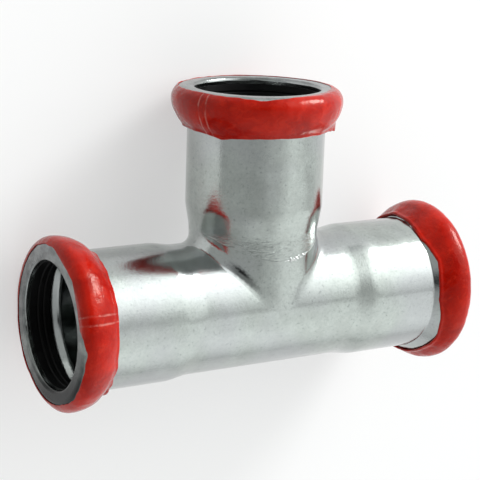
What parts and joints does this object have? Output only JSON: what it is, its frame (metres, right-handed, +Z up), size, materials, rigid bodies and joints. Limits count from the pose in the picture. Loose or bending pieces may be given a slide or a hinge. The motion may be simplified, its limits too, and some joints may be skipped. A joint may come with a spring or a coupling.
{
  "type": "press tee",
  "caption": "Equal press tee in thin plated steel: beaded push-in sockets on run and branch, each with a rubber seal ring and a coloured peel-off film.",
  "frame": {"origin": "under the middle of the tee's box, on the surface that its three rings rest on", "axes": "+X along the run, +Y out along the branch, +Z up, square to the plane of the tee"},
  "size_m": [0.1018, 0.0698, 0.0391],
  "materials": {
    "plated_steel": "bright zinc plating, slightly mottled, satin",
    "seal_rubber": "matt black moulded rubber",
    "indicator_film": "glossy red shrink film"
  },
  "bodies": {
    "root": {"run_body": "plated_steel", "branch_socket": "plated_steel", "run_seal_left": "seal_rubber", "run_seal_right": "seal_rubber", "branch_seal": "seal_rubber", "run_film_left": "indicator_film", "run_film_right": "indicator_film", "branch_film": "indicator_film"}
  },
  "joints": []
}
